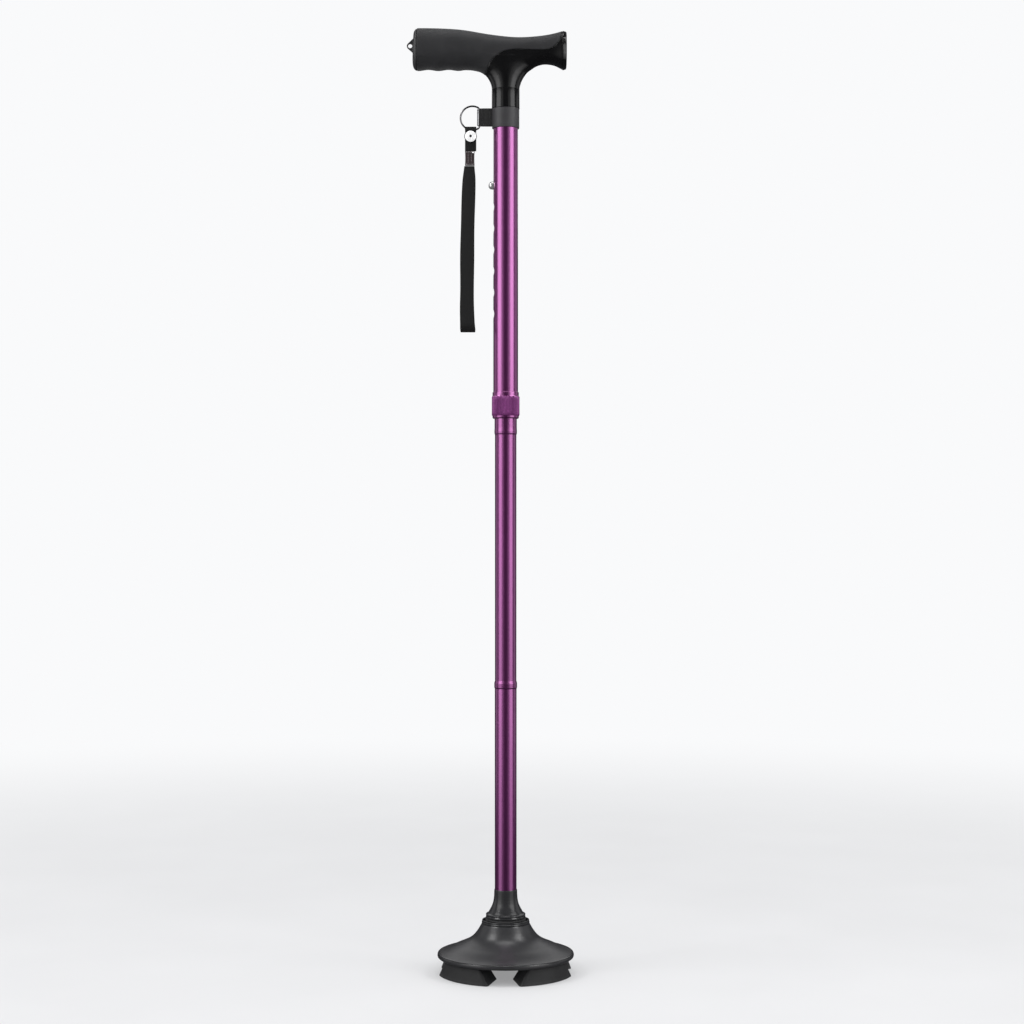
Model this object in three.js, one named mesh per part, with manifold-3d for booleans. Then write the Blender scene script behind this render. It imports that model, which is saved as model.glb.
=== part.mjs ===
// A folding, height-adjustable walking cane with a T-handle, a wrist strap and a tilting quad base.
// Millimetres, +Z up. The base stands on z = 0. +X is the way the handle's front end points.
import * as THREE from "three";
import { mergeVertices } from "three/addons/utils/BufferGeometryUtils.js";
import { LoftGeometry } from "three/addons/geometries/LoftGeometry.js";
import Module from "manifold-3d";

const wasm = await Module();
wasm.setup();

// ---------------------------------------------------------------- driving dimensions
const AXIS_X = 13.6; // the shaft stands this far from the middle of the object's box
const BASE_TURN = THREE.MathUtils.degToRad(-1.4); // the base swivels, and rests turned a little
const GAP = 0.3; // between pieces that touch end to end
const ROUND = 28; // sides of a tube
const BASE_ROUND = 44; // sides of the base
const SMALL = 14; // sides of a pin, hole or screw

// Tubes, from the handle down: outer radius and bore radius.
const OUTER = { r: 11, bore: 10.1 };
const INNER = { r: 9.9, bore: 9.0 };
const MIDDLE = { r: 9.55, bore: 8.55 };
const LOWER = { r: 9.7, bore: 8.6 };

// Heights of the joints and collars above the floor.
const PIVOT_Z = 44; // centre of the ball
const NECK_TOP = 73.9;
const LOWER_JOINT = 252.4;
const UPPER_JOINT = 478.4;
const COLLAR_BOTTOM = 492.8;
const COLLAR_TOP = 516.6;
const OUTER_BOTTOM = 500.4;
const BUTTON_Z = 700.4;
const INNER_TOP = 716;
const BAND = [752.2, 769.6];
const SLEEVE_TOP = 786.8;
const OUTER_TOP = 805;

// Height adjustment: the button snaps into one hole of a row.
const HOLES = 7;
const HOLE_PITCH = 19.05;
const BUTTON_R = 3.7;

// Base.
const DISC_R = 61;
const DISC_UNDER = 14; // underside of the rim
const BALL_R = 9;
const LINER = { inner: 9.3, outer: 11.0 };
const SEAT_R = 11.3;
const DOME_R = 13.5; // hollow under the neck, round the pivot
const SCREW_CIRCLE = 30;
const FOOT = { count: 4, halfAngle: 32.2, inner: 28.5, outer: 60.6, height: 13.7, draft: 3.4, endDraft: 8.2, pegCircle: 44 };

// Wrist strap.
const RING = { x: -29.6, z: 759.5, r: 10.7, wire: 0.75, barX: -23.4 };
const STRAP_X = -30.8;
const LOOP_X = -33.6;
const STRAP_EYE_Z = 749.6;

// ---------------------------------------------------------------- solids
// A closed geometry as a solid, whichever way its faces turn.
function solidOf(geometry) {
  const bare = geometry.index ? geometry.toNonIndexed() : geometry.clone();
  bare.deleteAttribute("normal");
  bare.deleteAttribute("uv");
  const merged = mergeVertices(bare, 1e-4);
  const vertProperties = merged.attributes.position.array;
  const triVerts = new Uint32Array(merged.index.array);
  const made = new wasm.Manifold(new wasm.Mesh({ numProp: 3, vertProperties, triVerts }));
  if (made.volume() > 0) return made;
  triVerts.reverse();
  return new wasm.Manifold(new wasm.Mesh({ numProp: 3, vertProperties, triVerts }));
}

function geometryOf(solid) {
  const mesh = solid.getMesh();
  const geometry = new THREE.BufferGeometry();
  geometry.setAttribute("position", new THREE.BufferAttribute(mesh.vertProperties, 3));
  geometry.setIndex(new THREE.BufferAttribute(mesh.triVerts, 1));
  geometry.computeVertexNormals();
  return geometry;
}

const vector = ([x, y]) => new THREE.Vector2(x, y);
const space = ([x, y, z]) => new THREE.Vector3(x, y, z);

// A solid of revolution round Z from an [r, z] profile that starts and ends on the axis.
function turned(profile, sides = ROUND) {
  return solidOf(new THREE.LatheGeometry(profile.map(vector), sides).rotateX(Math.PI / 2));
}

// The same for a profile that goes round a hole on the axis.
function ring(profile, sides = ROUND) {
  return turned([...profile, profile[0]], sides);
}

// A plain tube between two heights.
function tube(r, bore, low, high, sides = ROUND) {
  return ring([[bore, low], [r, low], [r, high], [bore, high]], sides);
}

// A cylinder between two points.
function rod(r, from, to, sides = SMALL) {
  const a = space(from);
  const b = space(to);
  const along = b.clone().sub(a);
  const geometry = new THREE.CylinderGeometry(r, r, along.length(), sides);
  const turn = new THREE.Quaternion().setFromUnitVectors(new THREE.Vector3(0, 1, 0), along.normalize());
  geometry.applyQuaternion(turn).translate(...a.add(b).multiplyScalar(0.5).toArray());
  return solidOf(geometry);
}

function box([x0, y0, z0], [x1, y1, z1]) {
  const geometry = new THREE.BoxGeometry(x1 - x0, y1 - y0, z1 - z0);
  return solidOf(geometry.translate((x0 + x1) / 2, (y0 + y1) / 2, (z0 + z1) / 2));
}

// An outline in X and Z, pushed out to both sides of y = 0.
function plateXZ(outline, halfDepth, holes = []) {
  const shape = new THREE.Shape(outline.map(vector));
  shape.holes = holes.map((hole) => new THREE.Path(hole.map(vector)));
  const geometry = new THREE.ExtrudeGeometry(shape, { depth: 2 * halfDepth, bevelEnabled: false });
  return solidOf(geometry.translate(0, 0, -halfDepth).rotateX(Math.PI / 2));
}

// An outline in Y and Z, pushed out to both sides of a plane at x.
function plateYZ(outline, x, halfWidth, holes = []) {
  const shape = new THREE.Shape(outline.map(vector));
  shape.holes = holes.map((hole) => new THREE.Path(hole.map(vector)));
  const geometry = new THREE.ExtrudeGeometry(shape, { depth: 2 * halfWidth, bevelEnabled: false });
  geometry.rotateX(Math.PI / 2).rotateZ(Math.PI / 2);
  return solidOf(geometry.translate(x - halfWidth, 0, 0));
}

// Points of an arc in a profile, by angle above the horizontal.
function arc(cx, cz, r, fromDeg, toDeg, steps) {
  return Array.from({ length: steps + 1 }, (_, i) => {
    const a = THREE.MathUtils.degToRad(fromDeg + ((toDeg - fromDeg) * i) / steps);
    return [cx + r * Math.cos(a), cz + r * Math.sin(a)];
  });
}

// A smooth curve through [r, z] points.
function smooth(points, steps) {
  const curve = new THREE.SplineCurve(points.map(vector));
  return curve.getPoints(steps).map((p) => [p.x, p.y]);
}

// A value that follows [at, value] points smoothly.
function along(points) {
  const curve = new THREE.SplineCurve(points.map(vector)).getPoints(160);
  return (at) => {
    const next = curve.findIndex((p) => p.x >= at);
    if (next <= 0) return curve[next < 0 ? curve.length - 1 : 0].y;
    const [a, b] = [curve[next - 1], curve[next]];
    return a.y + ((b.y - a.y) * (at - a.x)) / (b.x - a.x);
  };
}

// A ring of points on a superellipse, given two half-sizes and how square it is.
function oval(a, b, power, count) {
  return Array.from({ length: count }, (_, i) => {
    const t = (2 * Math.PI * i) / count;
    const [c, s] = [Math.cos(t), Math.sin(t)];
    return [
      a * Math.sign(c) * Math.abs(c) ** (2 / power),
      b * Math.sign(s) * Math.abs(s) ** (2 / power),
    ];
  });
}

const loft = (sections) => solidOf(new LoftGeometry(sections, { capStart: true, capEnd: true }));

// ---------------------------------------------------------------- materials
const finish = (color, roughness, metalness = 0) =>
  new THREE.MeshStandardMaterial({ color, roughness, metalness });
const MATERIAL = {
  anodised: finish(0x7a2d78, 0.28, 1),
  grip: finish(0x232326, 0.75),
  gloss: finish(0x0c0c0e, 0.22),
  basePlastic: finish(0x2e2e31, 0.45),
  footRubber: finish(0x1c1c1e, 0.8),
  band: finish(0x47464a, 0.7),
  webbing: finish(0x101011, 0.9),
  leather: finish(0x1b1214, 0.6),
  nickel: finish(0xd8d8d6, 0.15, 1),
  steel: finish(0x9a9a9c, 0.35, 1),
  nylon: finish(0xe0ded6, 0.5),
  cord: finish(0x202024, 0.85),
};

// ---------------------------------------------------------------- assembly
const cane = new THREE.Group();
const shaft = new THREE.Group();
const base = new THREE.Group();
shaft.position.x = AXIS_X;
base.position.x = AXIS_X;
base.rotation.z = BASE_TURN;
cane.add(shaft, base);

function add(group, name, solid, material) {
  const mesh = new THREE.Mesh(geometryOf(solid), material);
  mesh.name = name;
  group.add(mesh);
}

// ---------------------------------------------------------------- base
function baseShell() {
  const flank = smooth(
    [[21.4, 44.4], [25.2, 37.4], [28.7, 33.3], [33, 30.2], [38.6, 27.2], [51, 21.8], [58.4, 18.4]],
    9,
  );
  const under = smooth([[56.9, 17.2], [47, 20.7], [36, 25.6], [27, 31], [23, 36.9], [20.9, 41.8]], 5);
  let shell = ring(
    [
      [SEAT_R, 17.4],
      ...arc(0, PIVOT_Z, SEAT_R, 0, 26, 3),
      [12.1, 49],
      [12.1, 44.3],
      [19.8, 44.3],
      ...arc(20.6, 46.8, 0.8, 180, -40, 4),
      ...flank,
      ...arc(58.5, 16.1, 2.1, 60, -55, 4),
      [57.2, DISC_UNDER],
      ...under,
      [14, 41.8],
      [14, 17.4],
    ],
    BASE_ROUND,
  );
  for (const [x, y] of circle(FOOT.count, SCREW_CIRCLE, 0)) {
    shell = shell.add(rod(4, [x, y, 17.4], [x, y, 28.6]));
    shell = shell.subtract(rod(1.8, [x, y, 16.8], [x, y, 25.8]));
  }
  return shell;
}

// Points on a circle round the shaft.
function circle(count, r, startDeg) {
  return Array.from({ length: count }, (_, i) => {
    const a = THREE.MathUtils.degToRad(startDeg + (360 / count) * i);
    return [r * Math.cos(a), r * Math.sin(a), a];
  });
}

// The two pegs of each foot, as angles from its middle.
const PEG_ANGLE = 14;
const PEG_R = 2.5;
const pegs = circle(FOOT.count, FOOT.pegCircle, 45 - PEG_ANGLE).concat(
  circle(FOOT.count, FOOT.pegCircle, 45 + PEG_ANGLE),
);

function basePlate() {
  let plate = turned(
    [[0, 14.3], [56.8, 14.3], [56.8, 17], [10.6, 17], [10.6, 24.2], [0, 24.2]],
    BASE_ROUND,
  );
  for (const [x, y] of pegs) plate = plate.subtract(rod(PEG_R + GAP, [x, y, 12], [x, y, 19]));
  for (const [x, y] of circle(FOOT.count, SCREW_CIRCLE, 0))
    plate = plate.subtract(rod(1.9, [x, y, 12], [x, y, 19]));
  return plate;
}

// One rubber foot: a block with an arc-shaped plan that spreads towards the floor on all sides.
function foot(middleDeg) {
  const outline = (z) => {
    const inset = (FOOT.draft * z) / FOOT.height;
    const endInset = (FOOT.endDraft * z) / FOOT.height;
    const [low, high] = [FOOT.inner + inset, FOOT.outer - inset];
    const half = (r) => THREE.MathUtils.degToRad(FOOT.halfAngle) - endInset / r;
    const corner = 3;
    const at = (r, a) => {
      const t = THREE.MathUtils.degToRad(middleDeg) + a;
      return new THREE.Vector3(r * Math.cos(t), r * Math.sin(t), z);
    };
    const edge = (r, steps, way) => {
      const reach = half(r) - corner / r;
      return Array.from({ length: steps + 1 }, (_, i) => at(r, way * reach * ((2 * i) / steps - 1)));
    };
    return [
      ...edge(high, 8, 1),
      at(high - corner, half(high - corner)),
      at(low + corner, half(low + corner)),
      ...edge(low, 4, -1),
      at(low + corner, -half(low + corner)),
      at(high - corner, -half(high - corner)),
    ];
  };
  let made = loft([outline(0), outline(FOOT.height / 2), outline(FOOT.height)]);
  for (const way of [-1, 1]) {
    const a = THREE.MathUtils.degToRad(middleDeg + way * PEG_ANGLE);
    const [x, y] = [FOOT.pegCircle * Math.cos(a), FOOT.pegCircle * Math.sin(a)];
    made = made.add(rod(PEG_R, [x, y, 10], [x, y, 19.3]));
  }
  return made;
}

// A pan-head screw that points up.
function baseScrew(x, y) {
  const head = turned([[0, 12.1], [2.6, 12.1], [3.4, 12.9], [3.4, 14], [0, 14]], SMALL);
  const slots = box([-2, -0.4, 11.8], [2, 0.4, 12.8]).add(box([-0.4, -2, 11.8], [0.4, 2, 12.8]));
  return head.add(rod(1.5, [0, 0, 13.8], [0, 0, 24.8])).subtract(slots).translate([x, y, 0]);
}

// The lower half of the ball's seat, which the base plate pushes up.
const socketRetainer = () =>
  turned([[0, 24.5], [11, 24.5], [11, 38], ...arc(0, PIVOT_Z, SEAT_R, -32.1, -90, 6)]);

// The rubber ring that brings the base back to level.
const cushionRing = () =>
  ring([[13.8, 44.6], [18.7, 44.6], [17.2, 46.1], [18.2, 47.2], [17, 48.4], [17.5, 49.6], [13.8, 49.6]]);

function makeBase() {
  add(base, "base_shell", baseShell(), MATERIAL.basePlastic);
  add(base, "base_plate", basePlate(), MATERIAL.basePlastic);
  add(base, "socket_retainer", socketRetainer(), MATERIAL.nylon);
  add(base, "cushion_ring", cushionRing(), MATERIAL.footRubber);
  const names = ["rear_right", "rear_left", "front_left", "front_right"];
  names.forEach((name, i) => add(base, `foot_${name}`, foot(45 + 90 * i), MATERIAL.footRubber));
  circle(FOOT.count, SCREW_CIRCLE, 0).forEach(([x, y], i) =>
    add(base, `base_screw_${i + 1}`, baseScrew(x, y), MATERIAL.steel),
  );
}

// ---------------------------------------------------------------- ball joint and neck
const ballLiner = () =>
  ring([
    ...arc(0, PIVOT_Z, LINER.outer, -50, 35, 6),
    ...arc(0, PIVOT_Z, LINER.inner, 35, -50, 6),
  ]);

function ballStud() {
  return turned([
    ...arc(0, PIVOT_Z, BALL_R, -90, 63.6, 9),
    [4, 54.8],
    [6, 54.8],
    [6, 57],
    [4, 57],
    [4, 61.2],
    [3.4, 61.2],
    [3.4, 62.4],
    [4, 62.4],
    [4, 64.4],
    [3.4, 65],
    [0, 65],
  ]);
}

// A flat spring ring with its gap, in the stud's groove.
const studCirclip = () =>
  tube(6, 3.65, 61.4, 62.2, SMALL).subtract(box([0, -1.6, 61], [8, 1.6, 63]));

function neckSocket() {
  const flare = smooth([[17.7, 53.2], [15.6, 55.2], [12.6, 58.9], [11.1, 62.8], [10.6, 68], [10.5, 73.4]], 7);
  const neck = ring([
    [12.1, 49.9],
    [17.5, 49.9],
    ...arc(17.2, 50.9, 1, -70, 0, 2),
    ...arc(17.2, 52.2, 1, 0, 60, 2),
    ...flare,
    [10.2, NECK_TOP],
    [9.95, NECK_TOP],
    [9.95, 61],
    [4.35, 61],
    [4.35, 58.3],
    [6.4, 58.3],
    ...arc(0, PIVOT_Z, DOME_R, 61.7, 26, 5),
  ]);
  return neck.subtract(rod(1.8, [0, 5, 67.5], [0, 14, 67.5]));
}

const lowerTube = () =>
  tube(LOWER.r, LOWER.bore, 61.3, LOWER_JOINT - 0.2).subtract(rod(1.8, [0, 5, 67.5], [0, 14, 67.5]));

function neckSetScrew() {
  const screw = rod(1.5, [0, 8.3, 67.5], [0, 11, 67.5]);
  return screw.subtract(rod(0.75, [0, 10, 67.5], [0, 12, 67.5], 6));
}

// ---------------------------------------------------------------- folding sections
// A hollow spigot, held in the tube below and slid into the mouth above.
function ferrule(low, joint, high, lowR, highR) {
  return ring([
    [5, low],
    [lowR, low],
    [lowR, joint],
    [highR, joint + 0.5],
    [highR, high - 2],
    [highR - 1, high],
    [5, high],
  ]);
}

// A tube whose lower end opens into a short flared mouth.
function flaredTube({ r, bore }, low, high, flare, length) {
  return ring([
    [bore + flare, low],
    [r + flare, low],
    [r + flare, low + 0.2 * length],
    [r, low + length],
    [r, high],
    [bore, high],
    [bore, low + length],
  ]);
}

// A bush that the knot of the cord pulls against.
const cordPlug = (r, low, high) => ring([[2.3, low], [r, low], [r, high - 1], [r - 1, high], [2.3, high]]);

// The elastic cord, with a knot at each end.
function shockCord() {
  const low = 67;
  const high = 661.5;
  return turned(
    [
      [0, low],
      [3, low + 1],
      [4.2, low + 4],
      [3, low + 7],
      [2, low + 8.3],
      [2, high - 8.3],
      [3, high - 7],
      [4.2, high - 4],
      [3, high - 1],
      [0, high],
    ],
    12,
  );
}

// ---------------------------------------------------------------- height adjustment
const BUTTON_HOLE = BUTTON_R + 0.35;

function innerTube() {
  const body = flaredTube(INNER, UPPER_JOINT + 0.2, INNER_TOP, 0.2, 4);
  return body.subtract(rod(BUTTON_HOLE, [-14, 0, BUTTON_Z], [-6, 0, BUTTON_Z]));
}

function outerTube() {
  let body = tube(OUTER.r, OUTER.bore, OUTER_BOTTOM, OUTER_TOP);
  for (let i = 0; i < HOLES; i++) {
    const z = BUTTON_Z - i * HOLE_PITCH;
    body = body.subtract(rod(BUTTON_HOLE, [-14, 0, z], [-6, 0, z]));
  }
  return body;
}

const tubeEndCap = () =>
  turned([[0, 709], [8.8, 709], [8.8, INNER_TOP + GAP], [9.8, INNER_TOP + GAP], [9.8, 718], [9.2, 718.6], [0, 718.6]]);

// A domed pin that points along -X.
function snapButton() {
  const length = 7.7;
  const pin = turned(
    [[0, 0], [BUTTON_R, 0], [BUTTON_R, length - 3.2], ...arc(BUTTON_R - 3.2, length - 3.2, 3.2, 15, 90, 5), [0, length]],
    SMALL,
  );
  return pin.rotate([0, -90, 0]).translate([-7.7, 0, BUTTON_Z]);
}

// A bent steel strip: one leg carries the button and the other bears on the far wall.
function buttonSpring() {
  const middle = new THREE.SplineCurve(
    [[-7, 707], [-6.7, 692], [-5.2, 673], [0, 667], [5.2, 673], [7.6, 692], [8.1, 707]].map(vector),
  );
  const half = 0.35;
  const steps = 24;
  const sides = [-1, 1].map((way) =>
    Array.from({ length: steps + 1 }, (_, i) => {
      const t = i / steps;
      const p = middle.getPoint(t);
      const d = middle.getTangent(t);
      return [p.x - way * half * d.y, p.y + way * half * d.x];
    }),
  );
  return plateXZ([...sides[0], ...sides[1].reverse()], 3);
}

// ---------------------------------------------------------------- lock collar
const threadRing = () => tube(11.6, 11.1, OUTER_BOTTOM, 509.5);

const colletRing = () =>
  ring([[10.05, 495.6], [10.55, 495.6], [11.35, 498], [11.35, 500], [10.05, 500]]).subtract(
    box([0, -0.7, 494], [13, 0.7, 501]),
  );

function lockCollar() {
  return ring([
    [10.2, COLLAR_BOTTOM],
    [11, COLLAR_BOTTOM],
    [12.35, COLLAR_BOTTOM + 2.5],
    [12.35, COLLAR_TOP - 4],
    [11.8, COLLAR_TOP - 3.6],
    [11.7, COLLAR_TOP - 0.5],
    [11.3, COLLAR_TOP],
    [11.15, COLLAR_TOP],
    [11.15, 513],
    [11.8, 512.3],
    [11.8, 497],
    [10.2, 494.4],
  ]);
}

// ---------------------------------------------------------------- handle
const HANDLE_LEFT = -82.1;
const HANDLE_RIGHT = 53.9;
const PALM_CAP_X = -79;
const FRONT_CAP_X = 50.5;
const AROUND = 22;

// Height of the handle's top and underside, and its half-width, along X.
const handleTop = along([[-84, 839.2], [-60, 839], [-38, 837.6], [-14, 833.5], [10, 831], [32, 832.4], [46, 835.1], [55, 837.7]]);
const handleUnder = along([[-84, 803.8], [-30, 804.2], [0, 806.6], [26, 808.2], [36, 808.9], [44, 807.6], [50, 804.5], [55, 802.6]]);
const handleHalf = along([[-84, 16], [-60, 16.6], [-34, 15.8], [-6, 14], [20, 13.4], [40, 14], [55, 16.6]]);

// Finger grooves: a shallow wave under the palm end.
const fingerWave = (x) => (x < -34 ? 0.45 * Math.cos(((x + 42) * 2 * Math.PI) / 18) : 0);

// How far the ends are drawn in where they round off.
function endRounding(x) {
  const fromEnd = Math.min(x - HANDLE_LEFT, HANDLE_RIGHT - x);
  const radius = x < 0 ? 4 : 1.8;
  if (fromEnd >= radius) return 0;
  return radius - Math.sqrt(radius ** 2 - (radius - fromEnd) ** 2);
}

function handleBar() {
  const stations = [-82.1, -81.7, -80.7, -79, -76, -71.5, -67, -62.5, -58, -53.5, -49, -44.5, -40, -34]
    .concat([-24, -12, 0, 12, 22, 30, 37, 43, 47.5, 50.5, 52.1, 53.3, 53.9]);
  return loft(
    stations.map((x) => {
      const drawn = endRounding(x);
      const top = handleTop(x) - drawn;
      const under = handleUnder(x) - fingerWave(x) + drawn;
      const power = x < 20 ? 2.6 : 2.4;
      return oval(handleHalf(x) - drawn, (top - under) / 2, power, AROUND).map(
        ([y, z]) => new THREE.Vector3(x, y, z + (top + under) / 2),
      );
    }),
  );
}

// The stem that spreads from the round neck into the underside of the bar: left, right and half-depth by height.
function handleStem() {
  const left = along([[786, -12.4], [790.9, -13.3], [794.5, -14.9], [798, -17.5], [801.6, -22.4], [806, -34], [812, -40]]);
  const right = along([[786, 12.4], [790.9, 13.4], [794.5, 14.8], [798, 16.9], [801.6, 19.9], [806.4, 26.6], [812, 34]]);
  const depth = along([[786, 12.4], [795, 12.7], [803, 12.7], [812, 11.7]]);
  const levels = [787.1, 790, 793, 795.5, 798, 800.4, 802.6, 805, 808, 812];
  return loft(
    levels.map((z) =>
      oval((right(z) - left(z)) / 2, depth(z), 2, AROUND).map(
        ([x, y]) => new THREE.Vector3(x + (right(z) + left(z)) / 2, y, z),
      ),
    ),
  );
}

// The side view of what the soft grip covers: everything above and behind this line.
const GRIP_EDGE = [
  [-20.5, 795], [-17, 801.4], [-14.3, 807.3], [-12.1, 810.3], [-8.2, 813.7], [-2.7, 817], [3.5, 818.8],
  [12, 819.2], [34, 818.8], [40.4, 820.1], [44.3, 822.7], [47.3, 826.4], [49, 831], [49.8, 835.8],
];

function gripRegion(shift) {
  const edge = smooth(GRIP_EDGE, 20).map(([x, z]) => [x - shift, z + shift]);
  return plateXZ([...edge, [60, 835.8 + shift], [60, 850], [-100, 850], [-100, 790], [-23 - shift, 790]], 25);
}

// The bar inside the soft grip, grown by a gap where the grip is cut for it.
function gripTenon(grow) {
  const sections = [[-76, 6.5, 813, 829], [-60, 8, 811.5, 831], [-30, 8, 811.5, 829], [8, 8, 811.5, 825]];
  return loft(
    sections.map(([x, half, low, high], i) =>
      oval(half + grow, (high - low) / 2 + grow, 3.5, AROUND).map(
        ([y, z]) => new THREE.Vector3(x + (i ? grow : -grow), y, z + (low + high) / 2),
      ),
    ),
  );
}

const PALM_PEG = (r) => rod(r, [-80.4, 0, 822], [-72, 0, 822]);
const FRONT_PEG = (r) => rod(r, [45, 0, 813], [52.5, 0, 813]);
const BOLT_HOLE = (r) => rod(r, [0, 0, 780], [0, 0, 814]);

function makeHandle() {
  const whole = handleBar().add(handleStem());
  const between = box([PALM_CAP_X + GAP, -30, 780], [FRONT_CAP_X - GAP, 30, 850]);
  const core = whole
    .intersect(between)
    .subtract(gripRegion(0))
    .add(gripTenon(0))
    .subtract(rod(11.15, [0, 0, 780], [0, 0, 805.4], ROUND))
    .subtract(BOLT_HOLE(2.4))
    .subtract(rod(4.6, [0, 0, 812.7], [0, 0, 840]))
    .subtract(PALM_PEG(3.3))
    .subtract(FRONT_PEG(3.3));
  const grip = whole
    .intersect(between)
    .intersect(gripRegion(GAP))
    .subtract(gripTenon(GAP))
    .subtract(PALM_PEG(3.3));
  const eye = [-85.1, 824.6];
  const gusset = [[-80.4, 832.8], [-82, 831.9], ...arc(...eye, 2.9, 128, 232, 7), [-82, 818.2], [-80.4, 817.2]];
  const lanyardEye = plateXZ(gusset, 1.3, [arc(...eye, 1.95, 0, 345, 23)]);
  const palmCap = whole.intersect(box([-90, -30, 780], [PALM_CAP_X, 30, 850])).add(lanyardEye);
  const eyeBore = rod(1.95, [eye[0], -5, eye[1]], [eye[0], 5, eye[1]]);
  add(shaft, "handle_core", core, MATERIAL.gloss);
  add(shaft, "grip_cover", grip, MATERIAL.grip);
  add(shaft, "palm_end_cap", palmCap.subtract(eyeBore).add(PALM_PEG(3)), MATERIAL.grip);
  const frontCap = whole.intersect(box([FRONT_CAP_X, -30, 780], [60, 30, 850])).add(FRONT_PEG(3));
  add(shaft, "front_end_cap", frontCap, MATERIAL.gloss);
}

const handlePlug = () => ring([[2.4, 782], [9, 782], [9.9, 783], [9.9, 804.6], [2.4, 804.6]]);

function handleBolt() {
  const head = turned([[0, 786], [2, 786], [2, 813], [4.1, 813], [4.1, 815], [3, 815.6], [0, 815.6]], SMALL);
  return head.subtract(rod(1.6, [0, 0, 813.6], [0, 0, 819], 6));
}

const neckSleeve = () =>
  ring([[11.15, 770], [12.2, 770], [12.45, 770.4], [12.45, 786.3], [12.2, SLEEVE_TOP], [11.15, SLEEVE_TOP]]);

// ---------------------------------------------------------------- wrist strap
const strapBand = () =>
  ring([[11.15, BAND[0]], [12, BAND[0]], [12.15, BAND[0] + 0.8], [12.15, BAND[1] - 0.8], [12, BAND[1]], [11.15, BAND[1]]]);

// Folded webbing that runs from the band round the ring's straight bar.
function strapTab() {
  const half = 7.9;
  const eye = new THREE.Path().absarc(RING.barX, 0, 1.1, 0, 2 * Math.PI);
  const shape = new THREE.Shape([[-12.5, -1.7], [-12.5, 1.7], [RING.barX + 1.6, 1.7]].map(vector));
  shape.absarc(RING.barX, 0, 2.1, 0.8, 2 * Math.PI - 0.8);
  shape.lineTo(RING.barX + 1.6, -1.7);
  shape.holes = [eye];
  const geometry = new THREE.ExtrudeGeometry(shape, { depth: 2 * half, bevelEnabled: false, curveSegments: 7 });
  return solidOf(geometry.translate(0, 0, RING.z - half));
}

// The wire ring: an arc closed by a straight bar.
function dRing() {
  const halfBar = Math.sqrt(RING.r ** 2 - (RING.barX - RING.x) ** 2);
  const opening = Math.acos((RING.barX - RING.x) / RING.r);
  const points = Array.from({ length: 25 }, (_, i) => {
    const a = opening + ((2 * Math.PI - 2 * opening) * i) / 24;
    return new THREE.Vector3(RING.x + RING.r * Math.cos(a), 0, RING.z + RING.r * Math.sin(a));
  });
  const section = new THREE.Shape().absarc(0, 0, RING.wire, 0, 2 * Math.PI);
  const path = new THREE.CatmullRomCurve3(points);
  const bend = new THREE.ExtrudeGeometry(section, { steps: 30, extrudePath: path, curveSegments: 4 });
  let made = solidOf(bend).add(
    rod(RING.wire, [RING.barX, 0, RING.z - halfBar], [RING.barX, 0, RING.z + halfBar], 8),
  );
  for (const way of [-1, 1]) {
    const knob = new THREE.SphereGeometry(RING.wire * 1.05, 8, 6);
    made = made.add(solidOf(knob.translate(RING.barX, 0, RING.z + way * halfBar)));
  }
  return made;
}

// A short strap folded over the ring and closed by the snap.
function snapLoop() {
  const outline = [...arc(0, STRAP_EYE_Z, 3.3, -40, 220, 13), [-2.5, 746], [-2.5, 738.6], [-1.35, 735], [-1.35, 730]];
  const mirrored = outline.slice(-4).reverse().map(([y, z]) => [-y, z]);
  return plateYZ([...outline, ...mirrored], STRAP_X, 4.7, [arc(0, STRAP_EYE_Z, 2.1, 0, 336, 14)]);
}

// The snap's two faces, turned about an axis along Y at this height.
const SNAP_Z = 743.3;
function snapPiece(profile, way) {
  return turned(profile, SMALL)
    .rotate([way * 90, 0, 0])
    .translate([STRAP_X, -2.95 * way, SNAP_Z]);
}
const snapCap = () => snapPiece([[0, 0], [5.1, 0], [5.1, 0.5], [4.2, 1.3], [2.4, 1.6], [1.2, 1.3], [0, 1.2]], 1);
const snapStud = () => snapPiece([[0, 0], [4.2, 0], [4.2, 0.6], [2.6, 0.9], [2.2, 1.6], [0, 1.6]], -1);

// The wrapped sleeve that gathers the wrist loop.
function loopSleeve() {
  const outline = oval(4.1, 2.1, 4, 20);
  const geometry = new THREE.ExtrudeGeometry(new THREE.Shape(outline.map(vector)), {
    depth: 11.4,
    bevelEnabled: false,
  });
  return solidOf(geometry.translate(STRAP_X - 0.9, 0, 718.3));
}

// The loop that goes round the wrist: a band that hangs in a narrow drop.
const LOOP_BOTTOM = 569.6;
function wristLoop() {
  const drop = (inset) => {
    const round = 5.6 - inset;
    const side = smooth([[round, LOOP_BOTTOM + 8], [round * 0.92, 600], [3.6 - inset, 655], [1.95 - inset / 1.3, 700]], 12);
    const right = [...arc(0, LOOP_BOTTOM + 5.6, round, -90, 0, 6), ...side];
    return right.concat(right.slice(1).reverse().map(([y, z]) => [-y, z]));
  };
  const outer = drop(0).flatMap((p) => (p[1] > 699 ? [p, [Math.sign(p[0]) * 1.7, 718]] : [p]));
  const ends = outer.filter((p) => p[1] > 699);
  const body = outer.filter((p) => p[1] <= 699);
  const right = body.filter((p) => p[0] >= 0);
  const left = body.filter((p) => p[0] < 0);
  const outline = [...right, ...ends.filter((p) => p[0] > 0), ...ends.filter((p) => p[0] < 0).reverse(), ...left];
  return plateYZ(outline, LOOP_X, 6.1, [drop(1.5)]);
}

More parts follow.
